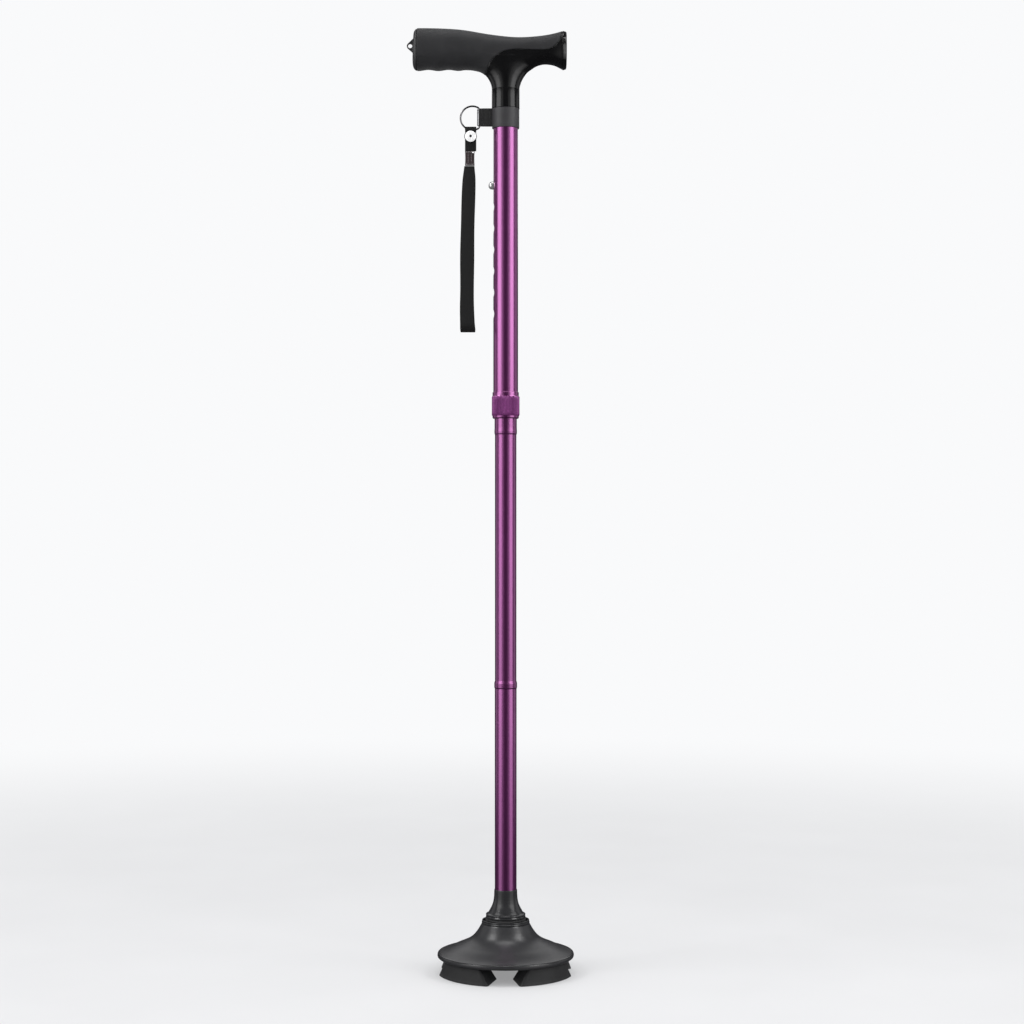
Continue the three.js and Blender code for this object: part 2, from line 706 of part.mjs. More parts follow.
// ---------------------------------------------------------------- put together
makeBase();
makeHandle();
const shaftPieces = {
  ball_liner: [ballLiner(), MATERIAL.nylon],
  ball_stud: [ballStud(), MATERIAL.steel],
  thrust_washer: [tube(6.1, 4.3, 57.3, 58, SMALL), MATERIAL.nylon],
  stud_circlip: [studCirclip(), MATERIAL.steel],
  neck_socket: [neckSocket(), MATERIAL.basePlastic],
  neck_set_screw: [neckSetScrew(), MATERIAL.steel],
  lower_tube: [lowerTube(), MATERIAL.anodised],
  lower_ferrule: [ferrule(214, LOWER_JOINT, 288, 8.4, 8.3), MATERIAL.nylon],
  cord_plug_lower: [cordPlug(8.4, 76, 88), MATERIAL.nylon],
  shock_cord: [shockCord(), MATERIAL.cord],
  middle_tube: [flaredTube(MIDDLE, LOWER_JOINT + 0.2, UPPER_JOINT - 0.2, 0.6, 6), MATERIAL.anodised],
  middle_ferrule: [ferrule(440, UPPER_JOINT, 513, 8.35, 8.8), MATERIAL.nylon],
  inner_tube: [innerTube(), MATERIAL.anodised],
  cord_plug_upper: [cordPlug(8.8, 640, 652.4), MATERIAL.nylon],
  tube_end_cap: [tubeEndCap(), MATERIAL.nylon],
  button_spring: [buttonSpring(), MATERIAL.steel],
  snap_button: [snapButton(), MATERIAL.nickel],
  outer_tube: [outerTube(), MATERIAL.anodised],
  thread_ring: [threadRing(), MATERIAL.anodised],
  collet_ring: [colletRing(), MATERIAL.nylon],
  lock_collar: [lockCollar(), MATERIAL.anodised],
  neck_sleeve: [neckSleeve(), MATERIAL.gloss],
  handle_plug: [handlePlug(), MATERIAL.nylon],
  handle_bolt: [handleBolt(), MATERIAL.steel],
  strap_band: [strapBand(), MATERIAL.band],
  strap_tab: [strapTab(), MATERIAL.webbing],
  d_ring: [dRing(), MATERIAL.nickel],
  snap_loop: [snapLoop(), MATERIAL.leather],
  snap_cap: [snapCap(), MATERIAL.nickel],
  snap_stud: [snapStud(), MATERIAL.nickel],
  loop_sleeve: [loopSleeve(), MATERIAL.leather],
  wrist_loop: [wristLoop(), MATERIAL.webbing],
};
for (const [name, [solid, material]] of Object.entries(shaftPieces)) add(shaft, name, solid, material);

export default cane;
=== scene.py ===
import math
import bpy
import bmesh
import numpy as np
from mathutils import Matrix, Vector


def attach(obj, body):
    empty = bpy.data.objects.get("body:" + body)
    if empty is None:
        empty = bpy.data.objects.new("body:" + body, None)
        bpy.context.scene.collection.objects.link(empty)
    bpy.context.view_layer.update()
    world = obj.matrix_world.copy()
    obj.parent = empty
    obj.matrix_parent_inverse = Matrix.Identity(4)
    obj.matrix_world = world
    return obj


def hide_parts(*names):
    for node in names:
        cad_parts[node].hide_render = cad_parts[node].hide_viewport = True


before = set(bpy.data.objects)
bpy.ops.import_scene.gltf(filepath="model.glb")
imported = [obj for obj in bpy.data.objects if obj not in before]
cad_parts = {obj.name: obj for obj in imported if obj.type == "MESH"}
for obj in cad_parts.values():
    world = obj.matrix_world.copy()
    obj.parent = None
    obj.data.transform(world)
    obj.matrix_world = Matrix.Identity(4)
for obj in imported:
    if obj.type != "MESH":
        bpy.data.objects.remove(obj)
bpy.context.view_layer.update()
scene = bpy.context.scene

# Pieces are drawn in millimetres from the shaft's axis, and make_mesh moves them into the row frame.
MM = 0.001
AXIS_X = 13.6
BASE_TURN = math.radians(-1.4)
BALL_Z = 44
SHARP_ANGLE = 32


# ---------------------------------------------------------------- materials
class Shade:
    """A principled material with its texture nodes in the piece's own coordinates, in millimetres."""

    def __init__(self, name, **values):
        self.mat = bpy.data.materials.new(name)
        self.mat.use_nodes = True
        self.tree = self.mat.node_tree
        self.bsdf = self.tree.nodes["Principled BSDF"]
        for key, value in values.items():
            self.bsdf.inputs[key.replace("_", " ")].default_value = value
        place = self.tree.nodes.new("ShaderNodeTexCoord").outputs["Object"]
        self.mm = self.node("ShaderNodeVectorMath", "Vector", Vector=place, Scale=1 / MM, operation="SCALE")

    def node(self, kind, output, operation=None, props=None, **inputs):
        """Adds a node. Inputs go by name, or by place as i0, i1 and so on, and are values or sockets."""
        made = self.tree.nodes.new(kind)
        if operation:
            made.operation = operation
        for key, value in (props or {}).items():
            setattr(made, key, value)
        for key, value in inputs.items():
            by_place = key[0] == "i" and key[1:].isdigit()
            socket = made.inputs[int(key[1:]) if by_place else key.replace("_", " ")]
            if isinstance(value, bpy.types.NodeSocket):
                self.tree.links.new(value, socket)
            else:
                socket.default_value = value
        return made.outputs[output]

    def math(self, operation, a, b=0.0):
        return self.node("ShaderNodeMath", "Value", operation=operation, i0=a, i1=b)

    def scaled(self, x, y, z):
        return self.node("ShaderNodeVectorMath", "Vector", operation="MULTIPLY", i0=self.mm, i1=(x, y, z))

    def noise(self, scale, detail=4.0, stretch=None):
        where = self.scaled(*stretch) if stretch else self.mm
        return self.node("ShaderNodeTexNoise", "Fac", Vector=where, Scale=scale, Detail=detail,
                         Roughness=0.55)

    def color(self, value, low, high, start=0.3, end=0.7):
        made = self.tree.nodes.new("ShaderNodeValToRGB")
        for point, at, color in zip(made.color_ramp.elements, (start, end), (low, high)):
            point.position = at
            point.color = (*color, 1)
        self.tree.links.new(value, made.inputs["Fac"])
        self.tree.links.new(made.outputs["Color"], self.bsdf.inputs["Base Color"])

    def rough(self, value, low, high):
        made = self.node("ShaderNodeMapRange", "Result", Value=value, To_Min=low, To_Max=high)
        self.tree.links.new(made, self.bsdf.inputs["Roughness"])

    def bump(self, height, strength=0.3, distance=0.00005):
        made = self.node("ShaderNodeBump", "Normal", Height=height, Strength=strength, Distance=distance)
        self.tree.links.new(made, self.bsdf.inputs["Normal"])


def grey(value, tint=(1, 1, 1)):
    return tuple(value * t for t in tint)


def anodised():
    """Bright dyed metal, brushed lengthways."""
    s = Shade("anodised_purple", Metallic=0.95, Coat_Weight=1.0, Coat_Roughness=0.24, Coat_IOR=1.95, IOR=1.6)
    drawn = s.noise(1.0, 3, stretch=(5, 5, 0.03))
    patch = s.noise(0.05, 3, stretch=(1, 1, 0.3))
    s.color(patch, (0.30, 0.026, 0.245), (0.34, 0.031, 0.28))
    s.rough(drawn, 0.26, 0.34)
    s.bump(drawn, 0.12, 0.00002)
    return s.mat


def knurled():
    s = Shade("anodised_knurl", Metallic=0.6, Coat_Weight=0.4, Coat_Roughness=0.3, Coat_IOR=1.6, IOR=1.5)
    worn = s.noise(0.6, 5)
    s.color(worn, (0.165, 0.022, 0.145), (0.225, 0.034, 0.20))
    s.rough(s.noise(2.0, 2), 0.36, 0.5)
    s.bump(s.noise(9.0, 2), 0.1, 0.00002)
    return s.mat


def moulded(name, low, high, rough, grain, strength, sheen=0.0, scale=2.5, tint=(1, 1, 1.05)):
    """Moulded plastic or rubber: low and high are its two levels of grey, and scale and grain its surface."""
    s = Shade(name, IOR=1.5, Sheen_Weight=sheen, Sheen_Roughness=0.4)
    s.color(s.noise(0.07, 4), grey(low, tint), grey(high, tint))
    s.rough(s.noise(0.25, 4), rough - 0.05, rough + 0.05)
    s.bump(s.noise(scale, grain), strength, 0.00006)
    return s.mat


def soft_grip():
    s = Shade("soft_grip", IOR=1.42, Sheen_Weight=0.08, Sheen_Roughness=0.45)
    cool = (1, 1, 1.1)
    s.color(s.noise(0.06, 4), grey(0.0095, cool), grey(0.0150, cool))
    s.rough(s.noise(0.2, 4), 0.62, 0.72)
    cells = s.node("ShaderNodeTexVoronoi", "Distance", Vector=s.mm, Scale=1.9)
    s.bump(s.math("ADD", cells, s.noise(4.0, 3)), 0.22, 0.00007)
    return s.mat


def webbing(name, across, along, low, high, pitch=1.1, sheen=0.15):
    """Woven tape: across and along are the axes of the threads, as unit vectors."""
    s = Shade(name, IOR=1.4, Sheen_Weight=sheen, Sheen_Roughness=0.5)

    def wave(axis, length):
        place = s.node("ShaderNodeVectorMath", "Value", operation="DOT_PRODUCT", i0=s.mm, i1=axis)
        return s.math("SINE", s.math("MULTIPLY", place, 2 * math.pi / length))

    warp = wave(across, pitch)
    weft = wave(along, pitch * 0.9)
    weave = s.math("ADD", s.math("MULTIPLY", warp, weft), s.math("MULTIPLY", wave(across, pitch / 2), 0.35))
    level = s.node("ShaderNodeMapRange", "Result", Value=weave, From_Min=-1.35, From_Max=1.35)
    worn = s.math("ADD", s.math("MULTIPLY", level, 0.7), s.math("MULTIPLY", s.noise(0.3, 5), 0.3))
    s.color(worn, grey(low), grey(high), 0.25, 0.75)
    s.rough(s.noise(0.8, 3), 0.72, 0.88)
    s.bump(s.math("ADD", level, s.math("MULTIPLY", s.noise(6.0, 2), 0.4)), 0.6, 0.00014)
    return s.mat


def leather():
    s = Shade("strap_leather", IOR=1.5, Coat_Weight=0.15, Coat_Roughness=0.4)
    s.color(s.noise(0.5, 5), (0.012, 0.007, 0.008), (0.034, 0.019, 0.021))
    s.rough(s.noise(0.7, 3), 0.42, 0.58)
    cells = s.node("ShaderNodeTexVoronoi", "Distance", Vector=s.mm, Scale=1.4)
    s.bump(s.math("ADD", cells, s.noise(3.0, 4)), 0.4, 0.0001)
    return s.mat


def metal(name, color, rough, metallic=1.0):
    s = Shade(name, Metallic=metallic, IOR=1.8)
    s.color(s.noise(0.4, 4), tuple(c * 0.92 for c in color), color)
    s.rough(s.noise(1.5, 3), rough * 0.8, rough * 1.25)
    s.bump(s.noise(4.5, 2), 0.06, 0.00002)
    return s.mat


def thread(name, level, tint=(1, 1, 1)):
    s = Shade(name, IOR=1.45, Sheen_Weight=0.2)
    s.color(s.noise(2.0, 3), grey(level * 0.7, tint), grey(level, tint))
    s.rough(s.noise(3.0, 2), 0.6, 0.8)
    s.bump(s.noise(8.0, 2), 0.3, 0.00005)
    return s.mat


ANODISED = anodised()
KNURL = knurled()
GRIP = soft_grip()
GLOSS = moulded("gloss_black", 0.0025, 0.004, 0.17, 2, 0.03, scale=0.4)
CAP = moulded("cap_rubber", 0.016, 0.022, 0.5, 3, 0.15)
CORE = moulded("core_gloss", 0.002, 0.0035, 0.25, 2, 0.04, scale=0.4)
NECK = moulded("neck_satin", 0.018, 0.024, 0.22, 4, 0.05, scale=3.0)
SATIN = moulded("base_satin", 0.021, 0.028, 0.33, 4, 0.10, scale=3.0)
RUBBER = moulded("foot_rubber", 0.009, 0.014, 0.62, 4, 0.25, sheen=0.05)
BAND = moulded("band_rubber", 0.024, 0.032, 0.5, 4, 0.2, tint=(1, 0.97, 1.04))
NYLON = moulded("natural_nylon", 0.52, 0.60, 0.45, 3, 0.1, tint=(1, 0.97, 0.9))
TAPE = webbing("tab_webbing", (0, 0, 1), (1, 0, 0), 0.007, 0.017)
LOOP_TAPE = webbing("loop_webbing", (1, 0, 0), (0, 0, 1), 0.003, 0.007, pitch=1.3, sheen=0.015)
CORD = webbing("cord_braid", (1, 0.5, 0), (0, 0.3, 1), 0.01, 0.03, pitch=0.9)
LEATHER = leather()
WIRE_NICKEL = metal("wire_nickel", (0.30, 0.30, 0.31), 0.25)
NICKEL = metal("bright_nickel", (0.78, 0.78, 0.77), 0.12, metallic=0.8)
# Pale, nearly matte nickel is a painted shine. It stands in for a bright reflection on the snap's faces and the
# sleeve's rivet.
NICKEL_PAINTED_SHINE = metal("nickel_painted_shine", (0.92, 0.92, 0.91), 0.25, metallic=0.15)
STEEL = metal("zinc_steel", (0.56, 0.56, 0.57), 0.32)
BLACK_THREAD = thread("black_thread", 0.03)
PALE_THREAD = thread("pale_thread", 0.28, (1, 0.93, 0.94))


# ---------------------------------------------------------------- mesh making
def make_mesh(name, verts, faces, material, body, replaces=None, turn=0.0, sharp=SHARP_ANGLE, slot=None):
    """A smooth piece, in millimetres from the shaft's axis, that rides on body and replaces a CAD node."""
    points = np.array(verts, float)
    if turn:
        c, s = math.cos(turn), math.sin(turn)
        points[:, :2] = points[:, :2] @ np.array([[c, s], [-s, c]])
    points[:, 0] += AXIS_X
    data = bpy.data.meshes.new(name)
    data.from_pydata((points * MM).tolist(), [], [list(map(int, f)) for f in faces])
    work = bmesh.new()
    work.from_mesh(data)
    bmesh.ops.remove_doubles(work, verts=work.verts, dist=1e-7)
    bmesh.ops.recalc_face_normals(work, faces=work.faces)
    work.to_mesh(data)
    work.free()
    data.shade_smooth()
    data.set_sharp_from_angle(angle=math.radians(sharp))
    data.materials.append(material)
    obj = bpy.data.objects.new(name, data)
    scene.collection.objects.link(obj)
    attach(obj, body)
    if replaces:
        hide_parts(replaces)
    return obj


def second_material(piece, material, chosen):
    """Gives material to each face whose middle, in millimetres from the shaft's axis, is chosen."""
    piece.data.materials.append(material)
    for face in piece.data.polygons:
        x, y, z = (v / MM for v in face.center)
        face.material_index = int(chosen(x - AXIS_X, y, z))


def arc(centre, radius, start, stop, count, squash=1.0):
    """Points of an arc about centre, from one angle in degrees to another."""
    return [(centre[0] + radius * math.cos(a), centre[1] + squash * radius * math.sin(a))
            for a in np.radians(np.linspace(start, stop, count))]


def rows_of(line):
    return [tuple(point) for point in line]


def joined(*parts):
    """Several (verts, faces) as one."""
    verts, faces = [], []
    for v, f in parts:
        faces += [[i + len(verts) for i in face] for face in f]
        verts += [tuple(p) for p in v]
    return verts, faces


def fillet(points, steps=5):
    """Rounds the corners of a closed loop of (a, b) or (a, b, radius) points."""
    out = []
    n = len(points)
    for i, point in enumerate(points):
        p = np.array(point[:2], float)
        radius = point[2] if len(point) > 2 else 0
        if not radius:
            out.append(tuple(p))
            continue
        back = np.array(points[i - 1][:2], float) - p
        on = np.array(points[(i + 1) % n][:2], float) - p
        lb, lo = np.linalg.norm(back), np.linalg.norm(on)
        back, on = back / lb, on / lo
        half = math.acos(float(np.clip(back @ on, -1, 1))) / 2
        reach = min(radius / math.tan(half), 0.49 * lb, 0.49 * lo)
        r = reach * math.tan(half)
        middle = (back + on) / np.linalg.norm(back + on)
        centre = p + middle * r / math.sin(half)
        a, b = p + back * reach - centre, p + on * reach - centre
        turn = math.atan2(a[0] * b[1] - a[1] * b[0], a @ b)
        for k in range(steps + 1):
            t = turn * k / steps
            out.append((centre[0] + a[0] * math.cos(t) - a[1] * math.sin(t),
                        centre[1] + a[0] * math.sin(t) + a[1] * math.cos(t)))
    return out


def lathe(profile, sides=96, closed=True, radius_at=None):
    """Revolves a loop of (r, z). radius_at(angle, r, z) may change a radius by angle."""
    verts, rings, faces = [], [], []
    for r, z in profile:
        if r < 1e-6:
            rings.append([len(verts)] * sides)
            verts.append((0, 0, z))
            continue
        rings.append(list(range(len(verts), len(verts) + sides)))
        for k in range(sides):
            a = 2 * math.pi * k / sides
            q = radius_at(a, r, z) if radius_at else r
            verts.append((q * math.cos(a), q * math.sin(a), z))
    count = len(rings) if closed else len(rings) - 1
    for i in range(count):
        low, high = rings[i], rings[(i + 1) % len(rings)]
        for k in range(sides):
            face = [low[k], low[(k + 1) % sides], high[(k + 1) % sides], high[k]]
            face = [v for j, v in enumerate(face) if v not in face[:j]]
            if len(face) > 2:
                faces.append(face)
    return verts, faces


def finer(profile, step):
    """Adds points along a loop's long straight runs."""
    out = []
    for (a, b), (c, d) in zip(profile, profile[1:] + profile[:1]):
        n = max(1, int(math.hypot(c - a, d - b) / step))
        out += [(a + (c - a) * i / n, b + (d - b) * i / n) for i in range(n)]
    return out


def curve(points, blur=0.0):
    """A smooth function through (at, value) points, as a function of arrays."""
    count = 400
    p = np.array(points, float)
    ext = np.vstack([2 * p[0] - p[1], p, 2 * p[-1] - p[-2]])
    out = []
    for i in range(1, len(ext) - 2):
        t = np.linspace(0, 1, count // len(p), endpoint=False)[:, None]
        a, b, c, d = ext[i - 1], ext[i], ext[i + 1], ext[i + 2]
        out.append(0.5 * (2 * b + (c - a) * t + (2 * a - 5 * b + 4 * c - d) * t**2
                          + (3 * b - a - 3 * c + d) * t**3))
    line = np.vstack([*out, p[-1:]])
    xs = np.linspace(p[0, 0], p[-1, 0], count)
    ys = np.interp(xs, line[:, 0], line[:, 1])
    if blur:
        n = int(3 * blur / (xs[1] - xs[0]))
        kernel = np.exp(-0.5 * (np.arange(-n, n + 1) * (xs[1] - xs[0]) / blur) ** 2)
        left = 2 * ys[0] - ys[n:0:-1]
        right = 2 * ys[-1] - ys[-2:-n - 2:-1]
        ys = np.convolve(np.concatenate([left, ys, right]), kernel / kernel.sum(), "valid")
    return lambda x: np.interp(x, xs, ys)


def line_through(points, count):
    """Points of a smooth curve through [a, b] points, evenly spread."""
    p = np.array(points, float)
    far = np.concatenate([[0], np.cumsum(np.hypot(*np.diff(p, axis=0).T))])
    at = np.linspace(0, far[-1], count)
    return np.column_stack([curve(list(zip(far, p[:, k])))(at) for k in (0, 1)])


def sweep(path, frames, sections, closed=False):
    """Skins sections, lists of (u, v), set at the path's points on frames of two vectors."""
    verts, faces = [], []
    n = len(sections[0])
    for p, (u, v), section in zip(path, frames, sections):
        verts += [tuple(np.array(p) + a * np.array(u) + b * np.array(v)) for a, b in section]
    rows = len(path)
    for i in range(rows if closed else rows - 1):
        low, high = i * n, ((i + 1) % rows) * n
        faces += [[low + k, low + (k + 1) % n, high + (k + 1) % n, high + k] for k in range(n)]
    if not closed:
        faces += [list(range(n)), list(range((rows - 1) * n, rows * n))]
    return verts, faces


def circle_points(radius, sides):
    return [(radius * math.cos(2 * math.pi * k / sides), radius * math.sin(2 * math.pi * k / sides))
            for k in range(sides)]


def wire_loop(points, radius, sides):
    """A round wire along a closed loop of points in the plane across y."""
    pts = np.array(points, float)
    tangent = np.roll(pts, -1, 0) - np.roll(pts, 1, 0)
    tangent /= np.linalg.norm(tangent, axis=1)[:, None]
    across = (0, 1, 0)
    frames = [(np.cross(t, across), across) for t in tangent]
    return sweep(pts, frames, [circle_points(radius, sides)] * len(pts), closed=True)


def stitch(a, b, out, radius=0.22):
    """One short stitch from a to b that bows outwards, with its ends sunk in."""
    lift, sunk = 0.18, 0.1
    a, b, out = (np.array(p, float) for p in (a, b, out))
    along = (b - a) / np.linalg.norm(b - a)
    side = np.cross(along, out)
    pts = [a + (b - a) * t + out * (lift * math.sin(math.pi * t) - sunk) for t in np.linspace(0, 1, 6)]
    size = [0.55, 0.9, 1, 1, 0.9, 0.55]
    return sweep(pts, [(side, out)] * 6, [circle_points(radius * s, 6) for s in size])


def stitch_row(a, b, out, count, fill=0.62, radius=0.22):
    """Stitches in a row from a to b, each filling that share of its step."""
    a, b = np.array(a, float), np.array(b, float)
    step = (b - a) / count
    return [stitch(a + step * (i + 0.5 - fill / 2), a + step * (i + 0.5 + fill / 2), out, radius)
            for i in range(count)]


# ---------------------------------------------------------------- shapes from distance functions
def poly_distance(points):
    """Signed distance to a closed polygon in two dimensions, negative inside, as a function of arrays."""
    p = np.array(points, float)
    q = np.roll(p, -1, 0)

    def distance(x, z):
        best = np.full(np.broadcast(x, z).shape, 1e9)
        inside = np.zeros(best.shape, bool)
        for (ax, az), (bx, bz) in zip(p, q):
            ex, ez = bx - ax, bz - az
            t = np.clip(((x - ax) * ex + (z - az) * ez) / (ex * ex + ez * ez + 1e-12), 0, 1)
            best = np.minimum(best, np.hypot(x - ax - t * ex, z - az - t * ez))
            crosses = (az > z) != (bz > z)
            with np.errstate(divide="ignore", invalid="ignore"):
                at = ax + (z - az) * ex / (ez if ez else 1e-12)
            inside ^= crosses & (x < at)
        return np.where(inside, -best, best)

    return distance


def tabled(f, low, high, step=0.4):
    """A two-dimensional function looked up in a table, to keep it quick."""
    xs, zs = np.arange(low[0], high[0] + step, step), np.arange(low[1], high[1] + step, step)
    table = f(xs[:, None], zs[None, :])

    def look(x, z):
        a = np.clip((x - xs[0]) / step, 0, len(xs) - 1.001)
        b = np.clip((z - zs[0]) / step, 0, len(zs) - 1.001)
        i, j = a.astype(int), b.astype(int)
        a, b = a - i, b - j
        return ((table[i, j] * (1 - a) + table[i + 1, j] * a) * (1 - b)
                + (table[i, j + 1] * (1 - a) + table[i + 1, j + 1] * a) * b)

    return look


def round_max(a, b, r):
    """Where two solids meet, with the outer corner rounded to r."""
    u, v = np.maximum(a + r, 0), np.maximum(b + r, 0)
    return np.hypot(u, v) + np.minimum(np.maximum(a + r, b + r), 0) - r


def soft_min(a, b, k):
    """Two solids joined, with the inner corner filled."""
    h = np.clip(0.5 + 0.5 * (b - a) / k, 0, 1)
    return b * (1 - h) + a * h - k * h * (1 - h)


def surface(f, low, high, step):
    """The zero surface of f as quads, one vertex to a cell, then moved onto the surface."""
    axes = [np.arange(a, b + step, step) for a, b in zip(low, high)]
    shape = tuple(len(a) for a in axes)
    value = np.broadcast_to(f(*np.meshgrid(*axes, indexing="ij", sparse=True)), shape)
    cells = np.array(shape) - 1
    ids, places, quads = [], [], []

    def flat(c):
        return (c[:, 0] * cells[1] + c[:, 1]) * cells[2] + c[:, 2]

    for axis in range(3):
        lo = [slice(None)] * 3
        hi = [slice(None)] * 3
        lo[axis], hi[axis] = slice(0, -1), slice(1, None)
        a, b = value[tuple(lo)], value[tuple(hi)]
        where = np.argwhere((a < 0) != (b < 0))
        va, vb = a[tuple(where.T)], b[tuple(where.T)]
        at = where.astype(float)
        at[:, axis] += va / (va - vb)
        o1, o2 = (axis + 1) % 3, (axis + 2) % 3
        ring = []
        for d1, d2 in ((1, 1), (0, 1), (0, 0), (1, 0)):
            c = where.copy()
            c[:, o1] -= d1
            c[:, o2] -= d2
            ring.append(flat(c))
            ids.append(ring[-1])
            places.append(at)
        ring = np.column_stack(ring)
        quads.append(np.where((va < 0)[:, None], ring, ring[:, ::-1]))
    ids, places = np.concatenate(ids), np.concatenate(places)
    unique, index = np.unique(ids, return_inverse=True)
    sums = np.column_stack([np.bincount(index, places[:, k]) for k in range(3)])
    points = sums / np.bincount(index)[:, None] * step + np.array([a[0] for a in axes])
    faces = np.searchsorted(unique, np.concatenate(quads))
    h = 0.04
    for _ in range(3):
        # One Newton step onto the surface, with the slope from differences over h.
        x, y, z = points.T
        v = f(x, y, z)
        g = np.column_stack([f(x + h, y, z) - f(x - h, y, z), f(x, y + h, z) - f(x, y - h, z),
                             f(x, y, z + h) - f(x, y, z - h)]) / (2 * h)
        move = v[:, None] * g / np.maximum((g**2).sum(1), 0.05)[:, None]
        points = points - np.clip(move, -0.6 * step, 0.6 * step)
    return points, faces


# ---------------------------------------------------------------- tubes and collars
def cut(obj, make, place):
    """Cut a solid, made by make(bmesh), out of a piece."""
    cutter = bpy.data.meshes.new("cutter")
    work = bmesh.new()
    make(work)
    work.to_mesh(cutter)
    work.free()
    cutter.transform(Matrix.Diagonal((MM, MM, MM, 1)))
    cutter.transform(Matrix.Translation(tuple(v * MM for v in place)))
    tool = bpy.data.objects.new("cutter", cutter)
    scene.collection.objects.link(tool)
    away = obj.modifiers.new("hole", "BOOLEAN")
    away.object = tool
    away.operation = "DIFFERENCE"
    away.solver = "EXACT"
    fresh = bpy.data.meshes.new_from_object(obj.evaluated_get(bpy.context.evaluated_depsgraph_get()))
    obj.modifiers.clear()
    obj.data = fresh
    bpy.data.objects.remove(tool)
    obj.data.set_sharp_from_angle(angle=math.radians(SHARP_ANGLE))


def tube_mesh(name, profile, body, replaces, sides=96, holes=()):
    """A drawn tube, with round holes at the heights in holes through its left wall."""
    outline = fillet(profile)
    if holes:
        outline = finer(outline, 6)
    obj = make_mesh(name, *lathe(outline, sides), ANODISED, body, replaces)
    for z in holes:
        cut(obj, lambda work: bmesh.ops.create_cone(
            work, cap_ends=True, segments=48, radius1=HOLE_R, radius2=HOLE_R, depth=12,
            matrix=Matrix.Rotation(math.pi / 2, 4, "Y")), (AXIS_X - OUTER_R, 0, z))
    return obj


OUTER_R, INNER_R, MIDDLE_R, LOWER_R = 11, 9.9, 9.55, 9.7
LOWER_JOINT_Z, UPPER_JOINT_Z = 252.5, 478.5
BUTTON_Z, BUTTON_R = 700.4, 3.7
HOLE_R, HOLE_PITCH, HOLE_COUNT = 4.05, 19.05, 7
tube_mesh("outer_tube_drawn", [(10.1, 500.4), (OUTER_R, 500.4, 0.3), (OUTER_R, 805), (10.1, 805)],
          "upper_section", "outer_tube", 128, [BUTTON_Z - HOLE_PITCH * i for i in range(HOLE_COUNT)])
tube_mesh("inner_tube_drawn",
          [(9.15, UPPER_JOINT_Z + 0.05, 0.1), (9.62, UPPER_JOINT_Z + 0.05, 0.1), (9.98, 479.6, 0.8),
           (10.06, 481.4, 1.0), (INNER_R, 484.4, 2.0), (INNER_R, 716), (9.0, 716), (9.0, 482.6)],
          "adjuster", "inner_tube", 128, [BUTTON_Z])
tube_mesh("middle_tube_drawn",
          [(9.1, LOWER_JOINT_Z + 0.05, 0.1), (9.76, LOWER_JOINT_Z + 0.05, 0.1), (10.12, 253.5, 0.8),
           (10.15, 257.4, 0.8), (MIDDLE_R, 259.6, 1.0), (MIDDLE_R, UPPER_JOINT_Z), (8.6, UPPER_JOINT_Z),
           (8.55, 258.6)],
          "middle_section", "middle_tube")
tube_mesh("lower_tube_drawn",
          [(8.6, 61.3), (LOWER_R, 61.3), (LOWER_R, LOWER_JOINT_Z, 0.1), (8.6, LOWER_JOINT_Z, 0.1)],
          "lower_section", "lower_tube")

COLLAR_R, RIB_DEPTH, RIBS = 12.35, 0.42, 56


def knurl_radius(angle, r, z):
    """Straight ribs round the collar's grip band."""
    if r < COLLAR_R - 0.15 or not 495.7 < z < 512.3:
        return r
    wave = 0.5 - 0.5 * math.cos(RIBS * angle)
    return r - RIB_DEPTH * wave**2


collar = fillet([
    (10.2, 492.8), (10.95, 492.8, 0.2), (11.5, 493.2, 0.4), (11.7, 493.9, 0.6), (11.75, 495.3, 0.1),
    (COLLAR_R, 495.9), (COLLAR_R, 512.2), (11.85, 512.7), (11.7, 513.2, 0.3), (11.7, 516.2, 0.4),
    (11.15, 516.6, 0.1), (11.15, 513), (11.8, 512.3), (11.8, 497), (10.2, 494.4)], 4)
lock_collar = make_mesh("lock_collar_knurled", *lathe(finer(collar, 2.5), 8 * RIBS, radius_at=knurl_radius),
                        KNURL, "lock_collar", "lock_collar", sharp=50)
second_material(lock_collar, ANODISED, lambda x, y, z: not 495.6 <= z <= 512.4)

# The button is a plug that ends in a half ball. It points to the left.
button_side = [(0, 0), (3.4, 0), (BUTTON_R, 0.3), *arc((0, 4.0), BUTTON_R, 0, 90, 14)[:-1], (0, 4.0 + BUTTON_R)]
button_verts, button_faces = lathe(button_side, 48, closed=False)
button = make_mesh("snap_button_domed", [(-z - 7.7, x, y + BUTTON_Z) for x, y, z in button_verts],
                   button_faces, NICKEL, "snap_button", "snap_button")
# It is slotted from inside, so that it can be pressed past the end of its spring.
cut(button, lambda work: bmesh.ops.create_cube(work, size=1, matrix=Matrix.Diagonal((6.6, 3.5, 12, 1))),
    (AXIS_X - 9.65, 0, BUTTON_Z))


# ---------------------------------------------------------------- handle
handle_top = curve([(-84, 839.7), (-60, 839.4), (-38, 838), (-14, 834.1), (10, 831.7), (32, 833), (46, 835.7),
                    (55, 838.6)], blur=3)
handle_under = curve([(-84, 803.8), (-30, 804.2), (0, 806.6), (26, 808.2), (36, 808.9), (44, 807.6),
                      (50, 804.5), (55, 802.6)], blur=1.5)
handle_half = curve([(-84, 16), (-60, 16.6), (-34, 15.8), (-6, 14), (20, 13.4), (40, 14), (55, 16.6)], blur=3)
STEM_TOP = 812
stem_left = curve([(780, -12.4), (787, -12.45), (790.9, -13.3), (794.5, -14.9), (798, -17.4), (801.6, -22.2),
                   (806, -34), (STEM_TOP, -40)])
stem_right = curve([(780, 12.4), (787, 12.45), (790.9, 13.4), (794.5, 14.8), (798, 16.9), (801.6, 19.9),
                    (806.4, 26.6), (STEM_TOP, 34)])
stem_depth = curve([(780, 12.4), (787, 12.4), (795, 12.7), (803, 13.1), (STEM_TOP, 13.4)])
PALM_END, FRONT_END, NECK_LOW = -82.1, 53.9, 785.25
